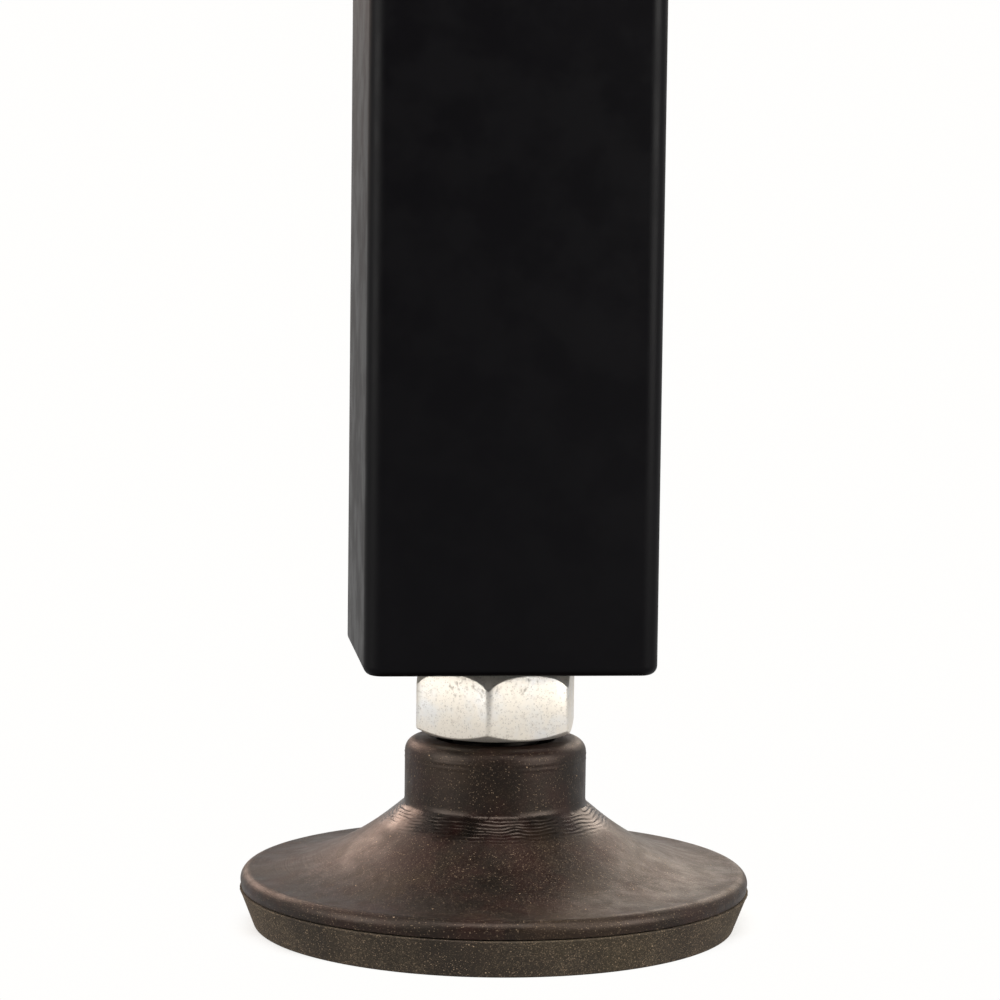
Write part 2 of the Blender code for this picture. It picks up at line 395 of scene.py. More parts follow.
@dataclass(frozen=True)
class PlatedFinish:
    """Pale, slightly yellow zinc plating with a fine dark and light speckle."""

    name: str = "zinc plating"
    slot: str = "zinc"
    colour: Colour = (0.88, 0.82, 0.725)
    cool: Colour = (0.80, 0.80, 0.79)
    pit: Colour = (0.34, 0.30, 0.26)
    roughness: float = 0.46
    metallic: float = 0.6

    def material(self) -> bpy.types.Material:
        """Build the plating's material.

        Returns:
            The new material.
        """
        paint = Paint(self.name, self.roughness, self.metallic)
        cool = paint.use(PATCHES, Scale=160.0, Low=0.45, High=0.75)
        colour = paint.blend(cool, self.colour, self.cool)
        mottle = paint.use(PATCHES, Scale=1500.0, Low=0.5, High=0.72)
        colour = paint.blend(paint.math("MULTIPLY", mottle, 0.3), colour, self.pit)
        pits = paint.use(SPECKS, Cells=3600.0, Radius=0.45, Share=0.35)
        colour = paint.blend(paint.math("MULTIPLY", pits, 0.34), colour, self.pit)
        paint.feed("Base Color", colour)
        paint.feed("Roughness", paint.remap(mottle, 0.0, 1.0, self.roughness - 0.08, self.roughness + 0.1))
        paint.bump(paint.use(RELIEF, Coarse=700.0, Fine=2600.0, Fine_Share=0.5), 0.02 * MM, 0.5)
        return paint.material


@dataclass(frozen=True)
class BlackenedFinish:
    """Blackened steel under a film of grease, worn brighter in patches."""

    name: str = "greased blackened steel"
    slot: str = "blackened_steel"
    colour: Colour = (0.035, 0.031, 0.028)
    worn: Colour = (0.12, 0.11, 0.10)
    grease: Colour = (0.012, 0.009, 0.007)
    roughness: float = 0.4

    def material(self) -> bpy.types.Material:
        """Build the steel's material.

        Returns:
            The new material.
        """
        paint = Paint(self.name, self.roughness, 0.9)
        worn = paint.use(PATCHES, Scale=420.0, Low=0.55, High=0.8)
        colour = paint.blend(paint.math("MULTIPLY", worn, 0.7), self.colour, self.worn)
        smear = paint.use(PATCHES, Scale=130.0, Low=0.4, High=0.7)
        paint.feed("Base Color", paint.blend(smear, colour, self.grease))
        paint.feed("Roughness", paint.remap(smear, 0.0, 1.0, self.roughness, self.roughness - 0.15))
        paint.bump(paint.use(RELIEF, Coarse=600.0, Fine=2200.0), 0.02 * MM, 0.5)
        return paint.material


@dataclass(frozen=True)
class SteelFinish:
    """Bare steel with the marks of the tool that cut it."""

    name: str = "bare steel"
    slot: str = "plain_steel"
    colour: Colour = (0.46, 0.45, 0.44)
    stain: Colour = (0.25, 0.22, 0.19)
    roughness: float = 0.4
    lay: Lay = Lay.STRAIGHT

    def material(self) -> bpy.types.Material:
        """Build the steel's material.

        Returns:
            The new material.
        """
        paint = Paint(self.name, self.roughness, 1.0)
        split = paint.node("ShaderNodeSeparateXYZ", {0: paint.place()})
        x, y = split.outputs[0], split.outputs[1]
        if self.lay is Lay.ROUND:
            along = paint.from_axis(x, y)
        else:
            along = paint.math("MULTIPLY_ADD", y, 0.3, x)
        marks = paint.use(TOOL_MARKS, Coordinate=along, Density=4200.0)
        stains = paint.use(PATCHES, Scale=140.0, Low=0.5, High=0.75)
        shaded = paint.blend(paint.math("MULTIPLY", marks, 0.35), self.colour, self.stain)
        paint.feed("Base Color", paint.blend(paint.math("MULTIPLY", stains, 0.55), shaded, self.stain))
        paint.feed("Roughness", paint.remap(marks, 0.2, 0.8, self.roughness - 0.1, self.roughness + 0.15))
        paint.bump(marks, 0.03 * MM, 0.5)
        return paint.material


@dataclass(frozen=True)
class MouldedFinish:
    """Black moulding compound with a maroon-brown bloom, under fine warm dust and a few larger grains."""

    name: str = "dusty black moulding"
    slot: str = "moulded_black"
    colour: Colour = (0.003, 0.0023, 0.0019)
    bloom: Colour = (0.0115, 0.0036, 0.0032)
    dust: Colour = (0.11, 0.072, 0.048)
    earth: Colour = (0.0135, 0.0078, 0.004)
    grain: Colour = (0.36, 0.26, 0.17)
    gleam: Colour = (1.0, 0.80, 0.68)
    specular: float = 0.36
    roughness: float = 0.36
    settled: float = 0.024
    even: float = 0.006
    grains: float = 0.3
    powder: float = 0.085
    rubbed_from: tuple[float, float] = (15.6 * MM, 17.2 * MM)
    rubbed_to: tuple[float, float] = (19.2 * MM, 20.2 * MM)

    def material(self) -> bpy.types.Material:
        """Build the moulding's material.

        Returns:
            The new material.
        """
        paint = Paint(self.name, self.roughness, Specular_IOR_Level=self.specular)
        paint.shader.inputs["Specular Tint"].default_value = (*self.gleam, 1.0)
        bloom = paint.use(PATCHES, Scale=110.0, Low=0.38, High=0.66)
        colour = paint.blend(bloom, self.colour, self.bloom)
        soiled = paint.use(PATCHES, Scale=72.0, Low=0.5, High=0.68)
        colour = paint.blend(paint.math("MULTIPLY", soiled, 0.8), colour, self.earth)
        x, y, height = paint.node("ShaderNodeSeparateXYZ", {0: paint.place()}).outputs
        rubbed = paint.math("MULTIPLY", paint.remap(height, *self.rubbed_from),
                            paint.remap(height, *self.rubbed_to, 1.0, 0.0))
        film = paint.use(SETTLED, Even=self.even, Upward=self.settled, Grain=1900.0)
        drift = paint.use(PATCHES, Scale=60.0, Low=0.3, High=0.75)
        film = paint.math("MULTIPLY", film, paint.math("MULTIPLY_ADD", drift, 1.3, 0.3), clamp=True)
        film = paint.math("MULTIPLY", film, paint.math("SUBTRACT", 1.0, rubbed))
        colour = paint.blend(film, colour, self.dust)
        powder = paint.use(SPECKS, Cells=6500.0, Radius=0.5, Share=0.35)
        small = paint.use(SPECKS, Cells=4300.0, Radius=0.34, Share=0.2)
        large = paint.use(SPECKS, Cells=1500.0, Radius=0.14, Share=0.05)
        drifted = paint.math("MULTIPLY_ADD", drift, self.powder, 0.4 * self.powder)
        powder = paint.math("MULTIPLY", powder, drifted)
        small = paint.math("MULTIPLY", small, self.grains)
        grains = paint.math("MAXIMUM", paint.math("MAXIMUM", powder, small), large)
        grains = paint.math("MULTIPLY", grains, paint.math("MULTIPLY_ADD", rubbed, -0.8, 1.0))
        paint.feed("Base Color", paint.blend(grains, colour, self.grain))
        patchy = paint.use(PATCHES, Scale=300.0, Low=0.3, High=0.7)
        matt = paint.math("MULTIPLY_ADD", film, 1.2, self.roughness)
        matt = paint.math("MULTIPLY_ADD", patchy, 0.14, matt)
        matt = paint.math("MULTIPLY_ADD", rubbed, -0.14, matt)
        paint.feed("Roughness", paint.math("MAXIMUM", matt, grains))
        relief = paint.use(RELIEF, Coarse=900.0, Fine=3000.0, Fine_Share=0.6)
        rings = paint.use(TOOL_MARKS, Coordinate=paint.from_axis(x, y), Density=2400.0)
        relief = paint.math("MULTIPLY_ADD", rings, 0.55, relief)
        paint.bump(paint.math("MULTIPLY_ADD", grains, 0.9, relief), 0.045 * MM, 0.7)
        return paint.material


@dataclass(frozen=True)
class NylonFinish:
    """Natural nylon, slightly yellow, greased and matt."""

    name: str = "natural nylon"
    slot: str = "nylon"
    colour: Colour = (0.68, 0.64, 0.54)
    grease: Colour = (0.42, 0.34, 0.2)
    roughness: float = 0.42

    def material(self) -> bpy.types.Material:
        """Build the nylon's material.

        Returns:
            The new material.
        """
        paint = Paint(self.name, self.roughness, Subsurface_Weight=0.15)
        paint.shader.inputs["Subsurface Scale"].default_value = 0.5 * MM
        smear = paint.use(PATCHES, Scale=150.0, Low=0.4, High=0.7)
        paint.feed("Base Color", paint.blend(paint.math("MULTIPLY", smear, 0.5), self.colour, self.grease))
        paint.feed("Roughness", paint.remap(smear, 0.0, 1.0, self.roughness, self.roughness - 0.2))
        paint.bump(paint.use(RELIEF, Coarse=500.0, Fine=2000.0), 0.02 * MM, 0.4)
        return paint.material


RUBBER = MouldedFinish(name="dusty rubber", slot="rubber", colour=(0.012, 0.0105, 0.009),
                       bloom=(0.02, 0.015, 0.012), earth=(0.024, 0.019, 0.011),
                       dust=(0.10, 0.082, 0.058), roughness=0.62, settled=0.05, even=0.36, grains=0.6,
                       powder=0.3)


# ---------------------------------------------------------------------------------------------
# Mesh making
# ---------------------------------------------------------------------------------------------


def smooth_step(value: float, low: float, high: float) -> float:
    """Return 0 below low, 1 above high, and a smooth rise between them.

    Args:
        value: the value to place.
        low: where the rise starts.
        high: where the rise ends.

    Returns:
        The share, from 0 to 1.
    """
    share = min(1.0, max(0.0, (value - low) / (high - low)))
    return share * share * (3 - 2 * share)


def new_piece(name: str, points: Sequence[Sequence[float]], faces: Sequence[Sequence[int]],
              shade: Shade) -> bpy.types.Object:
    """Make an object of a closed shape and turn its faces outward.

    Args:
        name: the piece's name.
        points: the corners, in metres in the row frame.
        faces: corner numbers of each face.
        shade: which edges stay crisp.

    Returns:
        The new object, at the origin.
    """
    mesh = bpy.data.meshes.new(name)
    mesh.from_pydata([tuple(p) for p in points], [], [tuple(f) for f in faces])
    piece = bpy.data.objects.new(name, mesh)
    bpy.context.scene.collection.objects.link(piece)
    tidy_mesh(mesh, shade)
    return piece


def tidy_mesh(mesh: bpy.types.Mesh, shade: Shade) -> None:
    """Merge doubled corners, close open rims and turn the faces outward.

    Args:
        mesh: the mesh to change.
        shade: which edges stay crisp.
    """
    work = bmesh.new()
    work.from_mesh(mesh)
    bmesh.ops.remove_doubles(work, verts=work.verts, dist=MICRON)
    bmesh.ops.dissolve_degenerate(work, dist=MICRON / 10, edges=work.edges)
    rims = [edge for edge in work.edges if edge.is_boundary]
    if rims:
        bmesh.ops.holes_fill(work, edges=rims, sides=0)
    bmesh.ops.recalc_face_normals(work, faces=work.faces)
    work.to_mesh(mesh)
    work.free()
    mesh.shade_smooth()
    mesh.set_sharp_from_angle(angle=math.radians(shade.value))


def turned(name: str, profile: Profile, sides: int, closed: bool, shade: Shade = Shade.SOFT,
           shift: Shift | None = None) -> bpy.types.Object:
    """Spin a section round the Z axis.

    Args:
        name: the piece's name.
        profile: (radius, height) points, in order.
        sides: how many faces go round.
        closed: whether the last point joins the first; otherwise both ends are on the axis.
        shade: which edges stay crisp.
        shift: gives how far a point moves outward for its angle, radius and height.

    Returns:
        The new object.
    """
    points, faces = [], []
    for radius, height in profile:
        for i in range(sides):
            angle = TAU * i / sides
            reach = radius + (shift(angle, radius, height) if shift and radius > 0 else 0.0)
            points.append((reach * math.cos(angle), reach * math.sin(angle), height))
    rows = len(profile)
    for row in range(rows if closed else rows - 1):
        following = (row + 1) % rows
        for i in range(sides):
            j = (i + 1) % sides
            faces.append((row * sides + i, row * sides + j, following * sides + j, following * sides + i))
    return new_piece(name, points, faces, shade)


def loop_tube(name: str, loops: list[Loop], shade: Shade) -> bpy.types.Object:
    """Join loops of equal length into a closed ring, the last back to the first.

    Args:
        name: the piece's name.
        loops: loops of points.
        shade: which edges stay crisp.

    Returns:
        The new object.
    """
    count, rows = len(loops[0]), len(loops)
    faces = [(a * count + i, a * count + (i + 1) % count, b * count + (i + 1) % count, b * count + i)
             for a, b in ((row, (row + 1) % rows) for row in range(rows)) for i in range(count)]
    return new_piece(name, [point for loop in loops for point in loop], faces, shade)


def arc(centre: tuple[float, float], radius: float, start: float, end: float, steps: int) -> Profile:
    """Return points along an arc.

    Args:
        centre: the arc's centre, as radius and height.
        radius: the arc's radius.
        start: the first angle in degrees, 0 outward and 90 up.
        end: the last angle in degrees.
        steps: how many steps it takes.

    Returns:
        The points, as radius and height.
    """
    angles = [math.radians(start + (end - start) * i / steps) for i in range(steps + 1)]
    return [(centre[0] + radius * math.cos(a), centre[1] + radius * math.sin(a)) for a in angles]


def filled(profile: Profile, longest: float) -> Profile:
    """Add points to a section's long straight runs.

    Args:
        profile: the section's points.
        longest: the longest run left, in metres.

    Returns:
        The section with no run longer than that.
    """
    result = [profile[0]]
    for (r0, z0), (r1, z1) in zip(profile, profile[1:]):
        steps = max(1, math.ceil(math.hypot(r1 - r0, z1 - z0) / longest))
        result += [(r0 + (r1 - r0) * i / steps, z0 + (z1 - z0) * i / steps) for i in range(1, steps + 1)]
    return result


def cut_away(piece: bpy.types.Object, cutters: list[bpy.types.Object]) -> None:
    """Cut pieces out of another and remove the cutters.

    Args:
        piece: the piece to cut.
        cutters: closed shapes to take away.
    """
    for cutter in cutters:
        modifier = piece.modifiers.new("cut", "BOOLEAN")
        modifier.operation, modifier.solver, modifier.object = "DIFFERENCE", "EXACT", cutter
    graph = bpy.context.evaluated_depsgraph_get()
    mesh = bpy.data.meshes.new_from_object(piece.evaluated_get(graph))
    piece.modifiers.clear()
    piece.data = mesh
    for cutter in cutters:
        bpy.data.objects.remove(cutter)
    tidy_mesh(mesh, Shade.CRISP)


def dress(piece: bpy.types.Object, *materials: bpy.types.Material) -> None:
    """Give a piece its materials.

    Args:
        piece: the piece.
        materials: its materials, in slot order.
    """
    piece.data.materials.clear()
    for material in materials:
        piece.data.materials.append(material)


def settle(piece: bpy.types.Object, body: str, slot: str, *nodes: str) -> None:
    """Hand a finished piece to the frame.

    Args:
        piece: the piece.
        body: the body that it moves with.
        slot: the record's material slot; not used.
        nodes: the nodes that it stands for.
    """
    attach(piece, body)
    if nodes:
        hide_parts(*nodes)
    LOG.info("%s: %d faces, on %s", piece.name, len(piece.data.polygons), body)


# ---------------------------------------------------------------------------------------------
# Geometry Nodes
# ---------------------------------------------------------------------------------------------


def thread_tree() -> bpy.types.NodeTree:
    """Build the tree that makes a right-handed thread as one wavy tube.

    Returns:
        The tree, with the thread's sizes as named inputs.
    """
    canvas = new_group("Thread", "GeometryNodeTree", {
        "Bottom": ("NodeSocketFloat", 0.0), "Top": ("NodeSocketFloat", 0.05),
        "Crest": ("NodeSocketFloat", 0.008), "Depth": ("NodeSocketFloat", 0.001),
        "Pitch": ("NodeSocketFloat", 0.002), "Sides": ("NodeSocketInt", 48),
        "Rows": ("NodeSocketInt", 200), "Finish": ("NodeSocketMaterial", None)},
        {"Geometry": "NodeSocketGeometry"})
    given = canvas.node("NodeGroupInput").outputs
    grid = canvas.node("GeometryNodeMeshGrid", {
        "Size X": 1.0, "Size Y": 1.0, "Vertices X": given["Sides"], "Vertices Y": given["Rows"]})
    spot = canvas.node("ShaderNodeSeparateXYZ", {0: canvas.node("GeometryNodeInputPosition").outputs[0]})
    turn = canvas.math("ADD", spot.outputs[0], 0.5)
    along = canvas.math("ADD", spot.outputs[1], 0.5)
    length = canvas.math("SUBTRACT", given["Top"], given["Bottom"])
    height = canvas.math("MULTIPLY_ADD", along, length, given["Bottom"])
    phase = canvas.math("SUBTRACT", canvas.math("DIVIDE", height, given["Pitch"]), turn)
    wave = canvas.math("MULTIPLY", canvas.math("PINGPONG", phase, 0.5), 2.0)
    flank = canvas.remap(wave, 0.12, 0.88)
    from_bottom = canvas.math("DIVIDE", canvas.math("SUBTRACT", height, given["Bottom"]), given["Pitch"])
    from_top = canvas.math("DIVIDE", canvas.math("SUBTRACT", given["Top"], height), given["Pitch"])
    run_out = canvas.math("MULTIPLY", canvas.math("MINIMUM", from_bottom, 1.0),
                          canvas.math("MINIMUM", from_top, 1.0))
    rise = canvas.math("MULTIPLY", flank, canvas.math("MULTIPLY", given["Depth"], run_out))
    root = canvas.math("SUBTRACT", given["Crest"], given["Depth"])
    radius = canvas.math("ADD", root, rise)
    angle = canvas.math("MULTIPLY", turn, TAU)
    place = canvas.node("ShaderNodeCombineXYZ", {
        0: canvas.math("MULTIPLY", radius, canvas.math("COSINE", angle)),
        1: canvas.math("MULTIPLY", radius, canvas.math("SINE", angle)), 2: height})
    moved = canvas.node("GeometryNodeSetPosition", {0: grid.outputs[0], "Position": place.outputs[0]})
    joined = canvas.node("GeometryNodeMergeByDistance", {0: moved.outputs[0], "Distance": MICRON})
    real = canvas.node("GeometryNodeRealizeInstances", {0: joined.outputs[0]})
    coated = canvas.node("GeometryNodeSetMaterial", {0: real.outputs[0], "Material": given["Finish"]})
    canvas.node("NodeGroupOutput", {0: coated.outputs[0]})
    return canvas.tree


def bead_tree() -> bpy.types.NodeTree:
    """Build the tree that lays a weld's overlapping ripples along a path.

    Returns:
        The tree, with the ripples' sizes as named inputs.
    """
    canvas = new_group("Weld bead", "GeometryNodeTree", {
        "Path": ("NodeSocketGeometry", None), "Step": ("NodeSocketFloat", 0.0008),
        "Width": ("NodeSocketFloat", 0.0015), "Rise": ("NodeSocketFloat", 0.0004),
        "Seed": ("NodeSocketInt", 3), "Finish": ("NodeSocketMaterial", None)},
        {"Geometry": "NodeSocketGeometry"})
    given = canvas.node("NodeGroupInput").outputs
    path = canvas.node("GeometryNodeMeshToCurve", {0: given["Path"]})
    points = canvas.node("GeometryNodeResampleCurve", {0: path.outputs[0], "Length": given["Step"]},
                         mode="LENGTH")
    tangent = canvas.node("GeometryNodeInputTangent")
    facing = canvas.node("FunctionNodeAlignEulerToVector", {"Vector": tangent.outputs[0]}, axis="X")
    scatter = canvas.node("FunctionNodeRandomValue", {"Min": 0.88, "Max": 1.12, "Seed": given["Seed"]},
                          data_type="FLOAT")
    drop = canvas.node("GeometryNodeMeshUVSphere", {"Segments": 14, "Rings": 8, "Radius": 1.0})
    size = canvas.node("ShaderNodeCombineXYZ", {
        0: canvas.math("MULTIPLY", given["Step"], 1.5), 1: canvas.math("MULTIPLY", given["Width"], 0.5),
        2: given["Rise"]})
    sized = canvas.node("ShaderNodeVectorMath", {0: size.outputs[0], "Scale": scatter.outputs[1]},
                        operation="SCALE")
    placed = canvas.node("GeometryNodeInstanceOnPoints", {
        "Points": points.outputs[0], "Instance": drop.outputs[0], "Rotation": facing.outputs[0],
        "Scale": sized.outputs[0]})
    real = canvas.node("GeometryNodeRealizeInstances", {0: placed.outputs[0]})
    coated = canvas.node("GeometryNodeSetMaterial", {0: real.outputs[0], "Material": given["Finish"]})
    canvas.node("NodeGroupOutput", {0: coated.outputs[0]})
    return canvas.tree


def ribs_tree() -> bpy.types.NodeTree:
    """Build the tree that stands short ribs round a circle, each along a spoke.

    Returns:
        The tree, with the ribs' number and sizes as named inputs.
    """
    canvas = new_group("Tread ribs", "GeometryNodeTree", {
        "Count": ("NodeSocketInt", 24), "Radius": ("NodeSocketFloat", 0.02),
        "Length": ("NodeSocketFloat", 0.004), "Width": ("NodeSocketFloat", 0.0012),
        "Height": ("NodeSocketFloat", 0.001), "Level": ("NodeSocketFloat", 0.0),
        "Finish": ("NodeSocketMaterial", None)}, {"Geometry": "NodeSocketGeometry"})
    given = canvas.node("NodeGroupInput").outputs
    ring = canvas.node("GeometryNodeMeshCircle", {"Vertices": given["Count"], "Radius": given["Radius"]})
    size = canvas.node("ShaderNodeCombineXYZ", {0: given["Length"], 1: given["Width"], 2: given["Height"]})
    block = canvas.node("GeometryNodeMeshCube", {"Size": size.outputs[0]})
    place = canvas.node("GeometryNodeInputPosition")
    facing = canvas.node("FunctionNodeAlignEulerToVector", {"Vector": place.outputs[0]}, axis="X")
    placed = canvas.node("GeometryNodeInstanceOnPoints", {
        "Points": ring.outputs[0], "Instance": block.outputs[0], "Rotation": facing.outputs[0]})
    lift = canvas.node("ShaderNodeCombineXYZ", {2: given["Level"]})
    raised = canvas.node("GeometryNodeTranslateInstances", {
        0: placed.outputs[0], "Translation": lift.outputs[0], "Local Space": False})
    real = canvas.node("GeometryNodeRealizeInstances", {0: raised.outputs[0]})
    coated = canvas.node("GeometryNodeSetMaterial", {0: real.outputs[0], "Material": given["Finish"]})
    canvas.node("NodeGroupOutput", {0: coated.outputs[0]})
    return canvas.tree


def grow(name: str, tree: bpy.types.NodeTree, values: dict[str, Any], shade: Shade,
         path: Loop | None = None) -> bpy.types.Object:
    """Run a geometry tree and keep its result as a plain mesh.

    Args:
        name: the piece's name.
        tree: the geometry tree.
        values: the tree's inputs, by name.
        shade: which edges stay crisp.
        path: the closed path that the tree follows, if it takes one.

    Returns:
        The new object, with no modifier.
    """
    start = bpy.data.meshes.new(name + "_start")
    points = path or []
    start.from_pydata(points, [(i, (i + 1) % len(points)) for i in range(len(points))], [])
    seed = bpy.data.objects.new(name + "_start", start)
    bpy.context.scene.collection.objects.link(seed)
    modifier = seed.modifiers.new(tree.name, "NODES")
    modifier.node_group = tree
    sockets = {item.name: item for item in tree.interface.items_tree if item.in_out == "INPUT"}
    for key, value in values.items():
        modifier[sockets[key].identifier] = value
    graph = bpy.context.evaluated_depsgraph_get()
    mesh = bpy.data.meshes.new_from_object(seed.evaluated_get(graph))
    mesh.name = name
    bpy.data.objects.remove(seed)
    piece = bpy.data.objects.new(name, mesh)
    bpy.context.scene.collection.objects.link(piece)
    tidy_mesh(mesh, shade)
    return piece


THREAD = thread_tree()
WELD_BEAD = bead_tree()
TREAD_RIBS = ribs_tree()


# ---------------------------------------------------------------------------------------------
# The leg
# ---------------------------------------------------------------------------------------------


def square_loop(width: float, corner: float, height: float, steps: int) -> Loop:
    """Return a square with round corners.

    Args:
        width: the square's width.
        corner: its corners' radius.
        height: its height.
        steps: how many steps each corner takes.

    Returns:
        The points, in order.
    """
    inset = width / 2 - corner
    loop = []
    for quarter in range(4):
        middle = TAU / 8 + quarter * TAU / 4
        x, y = math.copysign(inset, math.cos(middle)), math.copysign(inset, math.sin(middle))
        for i in range(steps + 1):
            angle = (quarter + i / steps) * TAU / 4
            loop.append((x + corner * math.cos(angle), y + corner * math.sin(angle), height))
    return loop


@dataclass
class Leg:
    """The square tube with its welded end plate and weld nut."""

    wall: float = 2.5 * MM
    corner: float = 3.0 * MM
    ground_edge: float = 1.5 * MM
    sawn_edge: float = 0.25 * MM
    corner_steps: int = 12
    edge_steps: int = 8
    seam_width: float = 1.8 * MM
    seam_rise: float = 0.45 * MM
    seam_place: float = 5.0 * MM
    seam_sway: float = 0.12 * MM
    seam_sunk: float = 0.02 * MM
    seam_ripple: float = 0.2
    seam_rows: int = 60
    seam_across: int = 8
    bead_step: float = 0.9 * MM
    bead_width: float = 1.7 * MM
    bead_rise: float = 0.33 * MM
    bead_corner: float = 0.6 * MM
    bead_lift: float = 0.25 * MM
    coating: CoatedFinish = field(default_factory=CoatedFinish)
    cut_face: SteelFinish = SteelFinish(name="sawn steel", roughness=0.34)
    inside: SteelFinish = SteelFinish(name="mill steel", colour=(0.13, 0.125, 0.125), roughness=0.5)

    def build(self) -> None:
        """Make and hand over the leg's pieces."""
        low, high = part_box("leg_tube")
        coat, sawn, mill = self.coating.material(), self.cut_face.material(), self.inside.material()
        self.build_tube(low, high, coat, sawn, mill)
        self.build_seam(high, mill)
        self.build_plate_weld(low, coat)
        dress(frame["nodes"]["end_plate"], coat)
        LOG.info("end_plate: coated")

    def build_tube(self, low: Vector, high: Vector, coat: bpy.types.Material, sawn: bpy.types.Material,
                   mill: bpy.types.Material) -> None:
        """Make the tube, its lower edge ground round and its upper end sawn square.

        Args:
            low: the tube's lowest corner.
            high: the tube's highest corner.
            coat: the outside's material.
            sawn: the cut end's material.
            mill: the inside's material.
        """
        width = high.x - low.x
        hollow = width - 2 * self.wall
        loops = []
        for i in range(self.edge_steps + 1):
            angle = i / self.edge_steps * TAU / 4
            inset = self.ground_edge * (1 - math.sin(angle))
            height = low.z + self.ground_edge * (1 - math.cos(angle))
            loops.append(square_loop(width - 2 * inset, self.corner - inset, height, self.corner_steps))
        for inset, height in ((0.0, high.z - self.sawn_edge), (self.sawn_edge, high.z)):
            loops.append(square_loop(width - 2 * inset, self.corner - inset, height, self.corner_steps))
        inner_corner = self.corner - self.wall
        for inset, height in ((-self.sawn_edge, high.z), (0.0, high.z - self.sawn_edge), (0.0, low.z)):
            loops.append(square_loop(hollow - 2 * inset, inner_corner - inset, height, self.corner_steps))
        tube = loop_tube("leg_tube_skin", loops, Shade.CRISP)
        dress(tube, coat, sawn, mill)
        half_hollow = hollow / 2 + MICRON
        for face in tube.data.polygons:
            spot = face.center
            if face.normal.z > 0.9 and spot.z > high.z - self.sawn_edge:
                face.material_index = 1
            elif max(abs(spot.x), abs(spot.y)) <= half_hollow and spot.z > low.z + self.sawn_edge:
                face.material_index = 2
        settle(tube, "leg", self.coating.slot, "leg_tube")

    def build_seam(self, high: Vector, mill: bpy.types.Material) -> None:
        """Make the low bead that the tube's own weld leaves down the inside of its back wall.

        Args:
            high: the tube's highest corner.
            mill: the bead's material.
        """
        wall_y = high.y - self.wall
        top = high.z - 2 * self.sawn_edge
        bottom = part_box("end_plate")[1].z + MM
        rows, across = self.seam_rows, self.seam_across
        points, faces = [], []
        for row in range(rows + 1):
            height = bottom + (top - bottom) * row / rows
            sway = self.seam_sway * noise.noise(Vector((0.0, 1.0, height * 90)))
            for i in range(across + 1):
                angle = math.pi * i / across
                ripple = 1 + self.seam_ripple * noise.noise(Vector((angle, 3.0, height * 700)))
                x = self.seam_place + sway + self.seam_width / 2 * math.cos(angle)
                y = wall_y + self.seam_sunk - self.seam_rise * math.sin(angle) * ripple
                points.append((x, y, height))
        for row in range(rows):
            for i in range(across):
                a = row * (across + 1) + i
                faces.append((a, a + 1, a + across + 2, a + across + 1))
            a = row * (across + 1)
            faces.append((a + across, a, a + across + 1, a + 2 * across + 1))
        faces += [tuple(range(across + 1)), tuple(rows * (across + 1) + i for i in range(across + 1))]
        seam = new_piece("tube_seam", points, faces, Shade.SOFT)
        dress(seam, mill)
        settle(seam, "leg", self.inside.slot)

    def build_plate_weld(self, low: Vector, coat: bpy.types.Material) -> None:
        """Lay the ground-down weld between the plate and the tube.

        Args:
            low: the tube's lowest corner.
            coat: the coating over the weld.
        """
        hollow = 2 * (abs(low.x) - self.wall)
        path = square_loop(hollow, self.bead_corner, low.z + self.bead_lift, 5)
        bead = grow("plate_weld", WELD_BEAD, {
            "Step": self.bead_step, "Width": self.bead_width, "Rise": self.bead_rise, "Seed": 3,
            "Finish": coat}, Shade.SOFT, path)
        settle(bead, "leg", self.coating.slot)


# ---------------------------------------------------------------------------------------------
# Nuts and stem
# ---------------------------------------------------------------------------------------------


